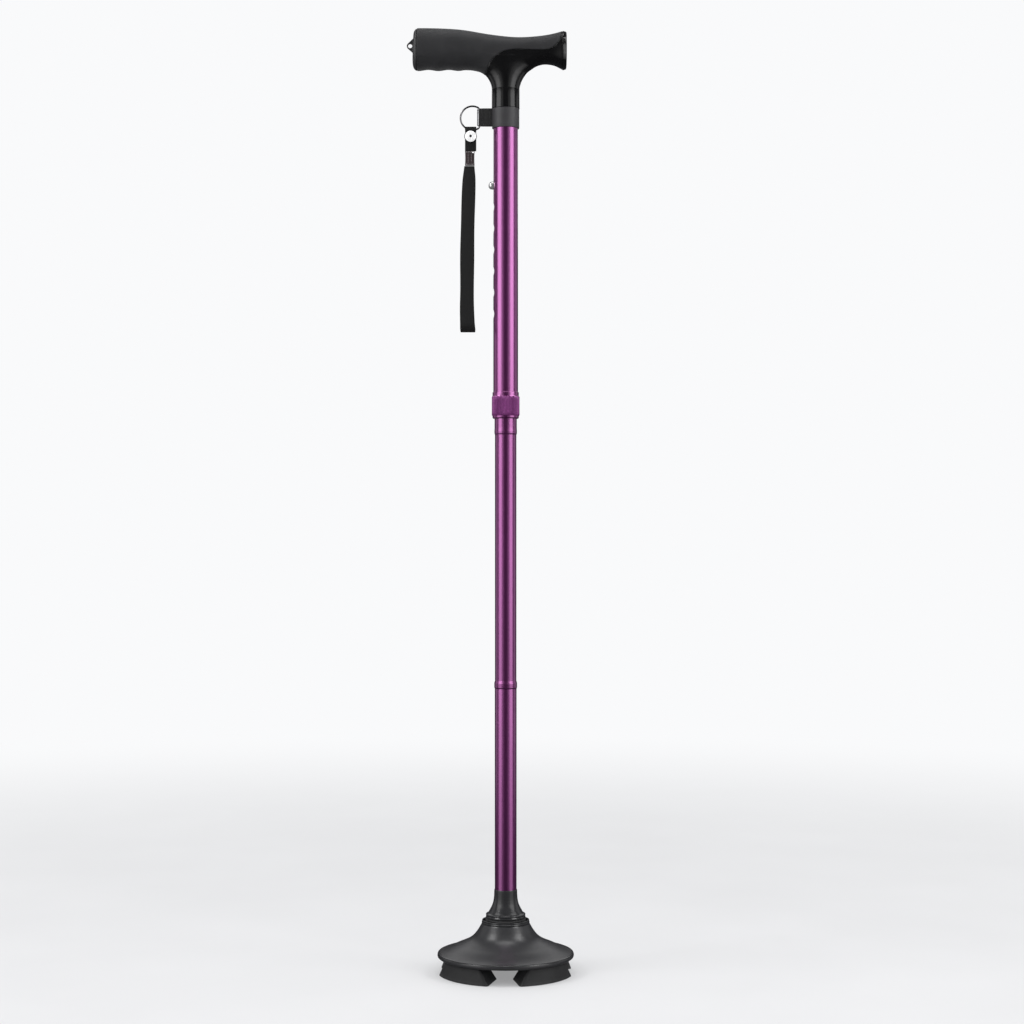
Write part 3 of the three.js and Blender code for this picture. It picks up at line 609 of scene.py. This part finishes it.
PALM_SEAM, FRONT_SEAM = -79, 50.5
FINGERS_FROM, FINGER_PITCH = -34, 18


def bar(x, y, z):
    """The handle's bar, with shallow finger waves under the grip."""
    finger = 0.5 * np.cos((x + 42) * 2 * np.pi / FINGER_PITCH)
    wave = np.where(x < FINGERS_FROM, finger, 0) * np.clip((FINGERS_FROM - x) / 5, 0, 1)
    top, under, half = handle_top(x), handle_under(x) - wave, handle_half(x)
    b = (top - under) / 2
    n = 2.6
    q = ((np.abs(y) / half) ** n + (np.abs(z - (top + under) / 2) / b) ** n) ** (1 / n)
    return (q - 1) * np.minimum(half, b)


def stem(x, y, z):
    """The neck that flares up into the bar."""
    at = np.minimum(z, STEM_TOP)
    left, right, deep = stem_left(at), stem_right(at), stem_depth(at)
    wide = (right - left) / 2
    q = np.hypot((x - (right + left) / 2) / wide, y / deep)
    return np.maximum((q - 1) * np.minimum(wide, deep), z - STEM_TOP - 1)


def handle(x, y, z):
    """The whole handle, cut off at its palm end, its front end and its neck's lower end."""
    d = soft_min(bar(x, y, z), stem(x, y, z), 3.0)
    d = round_max(d, PALM_END - x + 0.035 * (z - 822), 4.0)
    d = np.maximum(d, 0.866 * d + 0.5 * (x - FRONT_END + 3))
    d = round_max(d, x - FRONT_END, 0.6)
    return round_max(d, NECK_LOW - z, 0.15)


# The line where the soft grip ends and the hard core shows, seen from the front.
grip_line = line_through([(-20.5, 795), (-17, 801.4), (-14.3, 807.3), (-12.1, 810.3), (-8.2, 813.7),
                          (-2.7, 817),
                          (3.5, 818.8), (12, 819.2), (34, 818.8), (40.4, 820.1), (44.3, 822.7), (47.3, 826.4),
                          (49, 831), (49.8, 836)], 60)
grip_side = tabled(poly_distance([*grip_line, (60, 850), (60, 870), (-120, 870), (-120, 780), (-25, 780)]),
                   (-86, 785), (57, 843))
CELL = 0.55


def seam(x):
    """Inside between the two end caps."""
    return np.maximum(PALM_SEAM + 0.15 - x, x - FRONT_SEAM)


def grip_solid(x, y, z):
    d = handle(x, y, z) - 0.2
    d = round_max(d, grip_side(x, z) + 0.1 + 0 * y, 0.35)
    return round_max(d, seam(x), 0.2)


def core_solid(x, y, z):
    d = handle(x, y, z)
    d = round_max(d, -grip_side(x, z) + 0.12 + 0 * y, 0.3)
    return round_max(d, seam(x), 0.15)


EYE, EYE_R, EYE_HOLE_R = (-85.1, 824.6), 2.95, 1.9
lug = tabled(poly_distance([(-76, 834), (-81.2, 832.6), *arc(EYE, EYE_R, 132, 228, 16), (-81.6, 817.6),
                            (-76, 816)]),
             (-92, 810), (-74, 838), 0.2)


def palm_cap(x, y, z):
    d = round_max(handle(x, y, z) - 0.1, x - PALM_SEAM + 0.15, 0.4)
    eyelet = round_max(lug(x, z) + 0 * y, np.abs(y) - 1.3, 0.5)
    eyelet = round_max(eyelet, EYE_HOLE_R - np.hypot(x - EYE[0], z - EYE[1]), 0.4)
    return np.where(x < -77.4, soft_min(d, np.maximum(eyelet, x + 80), 0.8), np.maximum(d, 5))


def front_cap(x, y, z):
    return round_max(handle(x, y, z) - 0.25, FRONT_SEAM + 0.05 - x, 0.2)


for name, solid, low, high, cell, material, node in (
    ("grip_moulding", grip_solid, (-82, -18, 794), (53, 18, 842), CELL, GRIP, "grip_cover"),
    ("handle_core_moulding", core_solid, (-30, -18, 784), (53, 18, 842), CELL, CORE, "handle_core"),
    ("palm_cap_moulding", palm_cap, (-90, -18, 802), (-77.6, 18, 842), 0.6 * CELL, CAP, "palm_end_cap"),
    ("front_cap_moulding", front_cap, (49.6, -18, 801), (55, 18, 842), 0.6 * CELL, GLOSS, "front_end_cap"),
):
    make_mesh(name, *surface(solid, low, high, cell), material, "upper_section", node, sharp=180)
make_mesh("neck_sleeve_turned",
          *lathe(fillet([(11.1, 768.7), (12.45, 768.7, 0.15), (12.45, 785.1, 0.15), (11.1, 785.1)])), GLOSS,
          "upper_section", "neck_sleeve")

# ---------------------------------------------------------------- strap
make_mesh("strap_band_wrapped",
          *lathe(fillet([(11.15, 751.1), (12.05, 751.1, 0.4), (12.15, 752.9, 1.5), (12.15, 766.9, 1.5),
                         (12.1, 768.6, 0.15), (11.15, 768.6)])), BAND, "upper_section", "strap_band")

RING_X, RING_Z, RING_R, WIRE_R, BAR_X = -29.6, 760.5, 10.6, 0.8, -23.4
TAB_Z = 761.1


def rounded_box_section(half_u, half_v, r, steps=3):
    return fillet([(-half_u, -half_v, r), (half_u, -half_v, r), (half_u, half_v, r), (-half_u, half_v, r)],
                  steps)


def tape(path, half_width, thickness, axis):
    """A flat tape whose width lies along axis, along path points in the plane across it."""
    pts = np.array(path, float)
    tangent = np.vstack([pts[1:], pts[-1:]]) - np.vstack([pts[:1], pts[:-1]])
    tangent /= np.linalg.norm(tangent, axis=1)[:, None]
    frames = [(axis, np.cross(axis, t)) for t in tangent]
    widths = np.broadcast_to(half_width, len(pts))
    sections = [rounded_box_section(w, thickness / 2, thickness * 0.42) for w in widths]
    return sweep(pts, frames, sections)


# The tab's tape goes out from the band, round the ring's bar and back.
tab_path = ([(-12.0 - 0.8 * i, 1.05 - 0.02 * i, TAB_Z) for i in range(12)]
            + [(x, y, TAB_Z) for x, y in arc((BAR_X, 0), 1.55, 62, 298, 17)]
            + [(-12.0 - 0.8 * i, -1.05 + 0.02 * i, TAB_Z) for i in range(11, -1, -1)])
tab_half = [8.0 - 0.5 * max(0.0, (-x - 19) / 6) ** 2 for x, _, _ in tab_path]
tab_piece = make_mesh("strap_tab_webbing", *tape(tab_path, tab_half, 1.0, (0, 0, 1)), TAPE, "upper_section",
                      "strap_tab", sharp=60)
# The outer half of the tape's fold round the bar takes the ring's wire metal, a painted sheen along the fold.
second_material(tab_piece, WIRE_NICKEL, lambda x, y, z: x < BAR_X - 0.75)
SEAM_NEAR, SEAM_FAR, SEAM_HALF = -14.0, -20.3, 6.6
rows = []
for side in (-1, 1):
    out = (0, side, 0)
    for x in (SEAM_NEAR, SEAM_FAR):
        rows += stitch_row((x, side * 1.56, TAB_Z - SEAM_HALF), (x, side * 1.5, TAB_Z + SEAM_HALF), out, 7,
                           radius=0.2)
    for z in (TAB_Z - SEAM_HALF, TAB_Z + SEAM_HALF):
        rows += stitch_row((SEAM_NEAR, side * 1.56, z), (SEAM_FAR, side * 1.5, z), out, 3, radius=0.2)
make_mesh("tab_stitching", *joined(*rows), BLACK_THREAD, "upper_section", slot="webbing")

# The ring's round part is open where the straight bar runs, and both corners are rounded.
half_bar = math.sqrt(RING_R**2 - (BAR_X - RING_X) ** 2)
open_angle = math.acos((BAR_X - RING_X) / RING_R)
bar_low, bar_high = RING_Z - half_bar, RING_Z + half_bar
ring_loop = ([(RING_X + RING_R * math.cos(a), RING_Z + RING_R * math.sin(a))
              for a in np.linspace(open_angle + 0.12, 2 * math.pi - open_angle - 0.12, 72)]
             + [(BAR_X - 0.35, bar_low + 0.25), (BAR_X, bar_low + 1.1)]
             + [(BAR_X, z) for z in np.linspace(bar_low + 2, bar_high - 2, 8)]
             + [(BAR_X, bar_high - 1.1), (BAR_X - 0.35, bar_high - 0.25)])
make_mesh("d_ring_wire", *wire_loop([(x, 0, z) for x, z in ring_loop], WIRE_R, 16), WIRE_NICKEL, "d_ring",
          "d_ring", sharp=60)

# The short strap over the ring, seen from its edge: a fold, then two layers that close below the snap.
STRAP_X, FOLD_Z, FOLD_R, SNAP_Z = -31.2, 749.6, 2.7, 743.8
fold = [(0.7, 731.2), (0.72, 733.4), (0.9, 736), (1.35, 739), (1.75, 742.5), (2.1, 745.5)]
fold_side = fold + arc((0, FOLD_Z), FOLD_R, -18, 198, 19) + [(-y, z) for y, z in reversed(fold)]
fold_half = [5.0 + 0.1 * max(0, (z - 748) / 5) - 0.2 * math.exp(-((z - 747) ** 2) / 4) for _, z in fold_side]
make_mesh("snap_strap_fold", *tape([(STRAP_X, y, z) for y, z in fold_side], fold_half, 1.15, (1, 0, 0)),
          LOOP_TAPE, "wrist_strap", "snap_loop", sharp=60)
make_mesh("snap_strap_filler",
          *sweep([(STRAP_X, 0, z) for z in (732.2, 737, 741, 745)], [((1, 0, 0), (0, 1, 0))] * 4,
                 [rounded_box_section(4.3, h, 0.12) for h in (0.2, 0.4, 0.9, 1.3)]),
          LEATHER, "wrist_strap", slot="leather")


def snap(name, profile, way, material, node):
    """One half of the snap, turned about a line across the strap. Its face between rim and dimple is pale,
    nearly matte nickel, a painted shine.
    """
    verts, faces = lathe(profile, 64, closed=False)
    turned = [(x + STRAP_X, -way * (z + 2.75), y + SNAP_Z) for x, y, z in verts]
    piece = make_mesh(name, turned, faces, material, "wrist_strap", node, sharp=40)
    second_material(piece, NICKEL_PAINTED_SHINE,
                    lambda x, y, z: 1.15 < math.hypot(x - STRAP_X, z - SNAP_Z) < 4.95 and abs(y) > 3.5)


# The cap is of the darker wire metal, a painted shade that rings its painted-shine face with a dark outline.
snap("snap_cap_pressed",
     [(0, 0), (5.3, 0), (5.55, 0.2), (5.6, 0.5), (5.45, 0.8), (5.2, 0.9), (4.95, 0.85), (4.7, 1.0),
      (3.4, 1.42), (2.2, 1.62),
      (1.25, 1.66), (1.0, 1.55), (0.8, 1.2), (0.45, 0.9), (0, 0.85)], 1, WIRE_NICKEL, "snap_cap")
snap("snap_stud_pressed",
     [(0, 0), (4.2, 0), (4.35, 0.25), (4.2, 0.6), (3.4, 0.7), (2.9, 0.75), (2.4, 1.1), (2.3, 1.5),
      (2.0, 1.62), (1.2, 1.6), (0.9, 1.2), (0, 1.15)], -1, NICKEL, "snap_stud")

# The sleeve gathers the wrist loop. It has stitches and a small rivet.
SLEEVE_X, SLEEVE_LOW, SLEEVE_HIGH = -31.95, 718.4, 730.8
sleeve_levels = np.linspace(0, 1, 9)
sleeve = sweep([(SLEEVE_X, 0, SLEEVE_LOW + (SLEEVE_HIGH - SLEEVE_LOW) * t) for t in sleeve_levels],
               [((1, 0, 0), (0, 1, 0))] * 9,
               [rounded_box_section(4.25 - waist, 2.05 - waist, 0.9, 4)
                for waist in 0.2 * np.sin(math.pi * sleeve_levels)])
make_mesh("loop_sleeve_sewn", *sleeve, LEATHER, "wrist_strap", "loop_sleeve", sharp=50)
rows = []
for side in (-1, 1):
    out = (0, side, 0)
    for z in (SLEEVE_LOW + 0.7, SLEEVE_HIGH - 0.7):
        rows += stitch_row((SLEEVE_X - 3.6, side * 2.08, z), (SLEEVE_X + 3.6, side * 2.08, z), out, 5, 0.8,
                           0.26)
    for x in (SLEEVE_X - 1.4, SLEEVE_X + 1.3):
        rows += stitch_row((x, side * 1.9, SLEEVE_LOW + 1.9), (x, side * 1.9, SLEEVE_HIGH - 1.9), out, 6,
                           radius=0.18)
make_mesh("sleeve_stitching", *joined(*rows), PALE_THREAD, "wrist_strap", slot="leather")
# The rivet is of the pale, nearly matte nickel, a painted shine.
dome_verts, dome_faces = lathe([(0, 0), (0.8, 0), (0.78, 0.25), (0.62, 0.5), (0.35, 0.68), (0, 0.74)], 24,
                               closed=False)
make_mesh("sleeve_rivet", [(x + SLEEVE_X + 2.9, -z - 1.9, y + 729.6) for x, y, z in dome_verts], dome_faces,
          NICKEL_PAINTED_SHINE, "wrist_strap", slot="nickel")

# The wrist loop: a drop seen from its edge, which leans a little to the left as it hangs.
drop = [(0, 570.4), (3.0, 571.3), (4.7, 574.2), (4.85, 578), (4.6, 590), (4.2, 610), (3.5, 640), (2.6, 670),
        (1.75, 695), (1.0, 710), (0.82, 717.6)]
front_side = line_through(drop, 60)
loop_centre = curve([(569, -33.6), (574, -33.8), (581, -34.2), (594, -34.5), (607, -34.4), (643, -34.2),
                     (670, -33.7), (696, -32.95), (709, -32.5), (718, -32.3)], blur=2)
loop_half = curve([(569, 6.4), (573, 6.7), (578, 6.35), (594, 6.2), (607, 6.1), (643, 6.15), (670, 6.1),
                   (696, 5.95), (707, 5.7), (712, 5.2), (718, 4.6)], blur=1)
loop_path = ([(float(loop_centre(z)), y, z) for y, z in front_side[::-1]]
             + [(float(loop_centre(z)), -y, z) for y, z in front_side[1:]])
loop_widths = [float(loop_half(z)) + 0.12 * math.sin(z / 9.0) for _, _, z in loop_path]
make_mesh("wrist_loop_webbing", *tape(loop_path, loop_widths, 1.45, (1, 0, 0)), LOOP_TAPE, "wrist_strap",
          "wrist_loop", sharp=60)

# ---------------------------------------------------------------- base
neck_outer = line_through([(15.4, 53.0), (14.8, 54.6), (13.0, 57.8), (11.6, 61.0), (10.75, 64.6),
                           (10.35, 68.5), (10.2, 73.0)], 26)
neck = [(12.1, 49.6), (16.6, 48.9), *arc((16.9, 49.7), 0.8, -85, 55, 8), (17.1, 50.75),
        *arc((16.75, 51.7), 0.85, -60, 90, 8), *rows_of(neck_outer), (10.1, 73.7), (9.95, 73.9), (9.95, 61),
        (4.35, 61), (4.35, 58.3), (6.4, 58.3), *arc((0, BALL_Z), 13.5, 61.7, 26, 9)]
make_mesh("neck_socket_moulding", *lathe(neck, 112), NECK, "lower_section", "neck_socket")

BASE_R, FOOT_TOP = 60.7, 14.2
flank = line_through([(21.4, 43.5), (22.6, 41.3), (25.2, 37.1), (28.7, 32.8), (33, 29.5), (38.6, 26.6),
                      (45, 23.9), (51, 21.1), (55, 19.5), (58.4, 18.5)], 48)
rim = [(59.3, 18.3), (59.9, 18.05), (60.3, 17.65), (60.55, 17.1), (BASE_R, 16.3), (BASE_R, 15.4),
       (60.45, 14.6), (59.8, 14.1), (57.4, 14.0)]
under = line_through([(56.9, 17.2), (47, 20.7), (36, 25.6), (27, 31), (23, 36.9), (20.9, 41.8)], 16)
lip = [(12.1, 49), (12.1, 44.3), (19.8, 44.3), (19.8, 46.3), *arc((20.4, 46.5), 0.6, 180, -5, 9),
       (20.7, 45.75), *arc((20.6, 44.85), 0.75, 55, -50, 6, squash=0.7 / 0.75), (20.95, 43.95)]
shell = [(11.3, 17.4), *arc((0, BALL_Z), 11.3, 0, 26, 6), *lip, *rows_of(flank), *rim, *rows_of(under),
         (14, 41.8), (14, 17.4)]
shell_piece = make_mesh("base_shell_moulding", *lathe(shell, 144), SATIN, "base", "base_shell",
                        turn=BASE_TURN)


def on_rim_or_lip(x, y, z):
    out = math.hypot(x, y)
    return (out > 58.6 and z > 16.8) or (z > 43.6 and out > 19)


second_material(shell_piece, NECK, on_rim_or_lip)

plate = [(0, 14.4), (8, 14.4), (8.6, 15.2), (19, 15.2), (19.6, 14.4), (56.6, 14.4), (56.8, 14.7), (56.8, 17),
         (10.6, 17), (10.6, 24.2), (0, 24.2)]
make_mesh("base_plate_moulding", *lathe(plate, 112, closed=False), SATIN, "base", "base_plate",
          turn=BASE_TURN)


def foot_solid(x, y, z):
    """A rubber foot in the middle of the first quadrant, spreading towards the floor, with grooves below."""
    inset, ends = 3.4 * z / 13.7, 8.2 * z / 13.7
    r = np.hypot(x, y)
    around = ((np.abs(np.arctan2(y, x) - math.pi / 4) - math.radians(32.2)) * r + ends) * 0.86
    d = round_max((r - BASE_R + 0.1 + inset) * 0.97, 28.5 + inset - r, 1.5)
    d = round_max(d, around, 2.6)
    d = round_max(d, z - FOOT_TOP, 0.4)
    d = round_max(d, -z, 0.5)
    groove = round_max(np.abs((r - 31.5) % 4.5 - 2.25) - 0.55, z - 1.1, 0.2)
    grooved = np.maximum(r - 58.5, around + 3)
    return np.maximum(d, -np.maximum(groove, grooved))


foot = surface(foot_solid, (5, 5, -0.8), (62, 62, 15), 0.62)
for i, place in enumerate(["rear_right", "rear_left", "front_left", "front_right"]):
    make_mesh(f"foot_{place}_rubber", *foot, RUBBER, "base", f"foot_{place}",
              turn=BASE_TURN + math.pi / 2 * i, sharp=50)

SCREW_CIRCLE_R = 30
screw_side = [(0, 12.7), (0.35, 12.7), (0.5, 12.15), (1.6, 12.15), (2.6, 12.3), (3.3, 12.9), (3.4, 13.5),
              (3.35, 14.4), (0, 14.4)]


def cross_slot(angle, r, z):
    """Draws the recess in the screw's head out into a cross."""
    return r if r > 0.6 else r * (1 + 2.6 * abs(math.cos(2 * angle)) ** 6)


screw_verts, screw_faces = lathe(screw_side, 40, closed=False, radius_at=cross_slot)
for i in range(4):
    a = math.pi / 2 * i
    cx, cy = SCREW_CIRCLE_R * math.cos(a), SCREW_CIRCLE_R * math.sin(a)
    make_mesh(f"base_screw_{i + 1}_head", [(x + cx, y + cy, z) for x, y, z in screw_verts], screw_faces,
              STEEL, "base", f"base_screw_{i + 1}", turn=BASE_TURN)

# The spring that carries the button is a bent strip.
strip = line_through([(-7, 707), (-6.7, 692), (-5.2, 673), (0, 667), (5.2, 673), (7.6, 692), (8.1, 707)], 40)
make_mesh("button_spring_strip", *tape([(x, 0, z) for x, z in strip], 1.45, 0.7, (0, 1, 0)), STEEL,
          "adjuster", "button_spring")

# ---------------------------------------------------------------- carried-over nodes
for names, material in (
    (["socket_retainer", "ball_liner", "thrust_washer", "lower_ferrule", "middle_ferrule", "cord_plug_lower",
      "cord_plug_upper", "tube_end_cap", "collet_ring", "handle_plug"], NYLON),
    (["ball_stud", "stud_circlip", "neck_set_screw", "handle_bolt"], STEEL),
    (["cushion_ring"], RUBBER),
    (["thread_ring"], ANODISED),
    (["shock_cord"], CORD),
):
    for name in names:
        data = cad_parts[name].data
        data.materials.clear()
        data.materials.append(material)

# ---------------------------------------------------------------- stage, light and camera
BACKDROP = (0.95, 0.955, 0.965, 1)
FLOOR = Shade("pale_floor", IOR=1.45)
FLOOR.color(FLOOR.noise(0.004, 3), grey(0.57), grey(0.60))
FLOOR.rough(FLOOR.noise(0.01, 3), 0.42, 0.55)
# Far away the floor turns into the colour of the backdrop, so that no horizon shows.
place = FLOOR.node("ShaderNodeNewGeometry", "Position")
away = FLOOR.node("ShaderNodeVectorMath", "Value", operation="LENGTH", i0=place)
fade = FLOOR.node("ShaderNodeMapRange", "Result", props={"interpolation_type": "SMOOTHSTEP"}, Value=away,
                  From_Min=0.3, From_Max=2.0, To_Min=0.3)
glow = FLOOR.node("ShaderNodeEmission", "Emission", Color=BACKDROP)
blend = FLOOR.node("ShaderNodeMixShader", "Shader", i0=fade, i1=FLOOR.bsdf.outputs["BSDF"], i2=glow)
FLOOR.tree.links.new(blend, FLOOR.tree.nodes["Material Output"].inputs["Surface"])
data = bpy.data.meshes.new("floor")
data.from_pydata([(-40, -12, 0), (40, -12, 0), (40, 60, 0), (-40, 60, 0)], [], [(0, 1, 2, 3)])
data.materials.append(FLOOR.mat)
floor = bpy.data.objects.new("floor", data)
floor.location.z = -0.0002
floor.visible_glossy = False
scene.collection.objects.link(floor)

world = bpy.data.worlds.new("studio")
scene.world = world
world.use_nodes = True
tree = world.node_tree
back = tree.nodes["Background"]
back.inputs["Color"].default_value = (0.95, 0.96, 1.0, 1)
back.inputs["Strength"].default_value = 0.8
rays = tree.nodes.new("ShaderNodeLightPath")
last = back.outputs[0]
for ray, color in (("Is Glossy Ray", (0.035, 0.035, 0.04, 1)), ("Is Camera Ray", BACKDROP)):
    other = tree.nodes.new("ShaderNodeBackground")
    other.inputs["Color"].default_value = color
    mix = tree.nodes.new("ShaderNodeMixShader")
    tree.links.new(rays.outputs[ray], mix.inputs["Fac"])
    tree.links.new(last, mix.inputs[1])
    tree.links.new(other.outputs[0], mix.inputs[2])
    last = mix.outputs[0]
tree.links.new(last, tree.nodes["World Output"].inputs["Surface"])


def area_light(name, angle, distance, z, width, height, level, drop=0.0):
    """A softbox that stands at an angle from straight in front and faces the shaft, or a point drop lower."""
    light = bpy.data.lights.new(name, "AREA")
    light.shape = "RECTANGLE"
    light.size, light.size_y = width, height
    light.energy = level * math.pi * width * height
    obj = bpy.data.objects.new(name, light)
    a = math.radians(angle)
    obj.location = (AXIS_X * MM + distance * math.sin(a), -distance * math.cos(a), z)
    aim = Vector((AXIS_X * MM, 0, z - drop)) - obj.location
    obj.rotation_euler = aim.to_track_quat("-Z", "Y").to_euler()
    scene.collection.objects.link(obj)
    return obj


# Each side's softbox is three stacked parts, brighter upwards, each with a narrow weak one nearer the front.
for side, way in (("left", -1), ("right", 1)):
    for part, low, high, level in (("low", -0.4, 0.14, 0.75), ("middle", 0.14, 0.6, 1.4),
                                   ("high", 0.6, 1.35, 2.4)):
        middle, tall = (low + high) / 2, high - low
        area_light(f"softbox_{side}_{part}", way * 60, 1.7, middle, 1.15, tall, level)
        area_light(f"slope_light_{side}_{part}", way * 31, 1.7, middle, 0.58, tall, 0.2 * level)
    area_light(f"edge_light_{side}", way * 112, 1.7, 0.6, 0.9, 1.2, 0.4)
    area_light(f"high_light_{side}", way * 72, 1.2, 1.6, 0.6, 0.6, 8.0, drop=1.5)
back_light = area_light("softbox_back", 180, 1.9, 1.5, 2.6, 1.3, 0.8, drop=1.4)
back_light.visible_camera = False
top = area_light("softbox_top", 0, 0.15, 1.9, 0.9, 0.5, 4.8)
top.rotation_euler = (0, 0, 0)

camera_data = bpy.data.cameras.new("camera")
camera_data.sensor_width = 36
camera_data.lens = 73.6875
camera_data.clip_start, camera_data.clip_end = 0.05, 60
camera = bpy.data.objects.new("camera", camera_data)
camera.location = (0.01923, -1.867, 0.4097)
camera.rotation_euler = (math.pi / 2, 0, 0)
scene.collection.objects.link(camera)
scene.camera = camera
scene.view_settings.view_transform = "Standard"
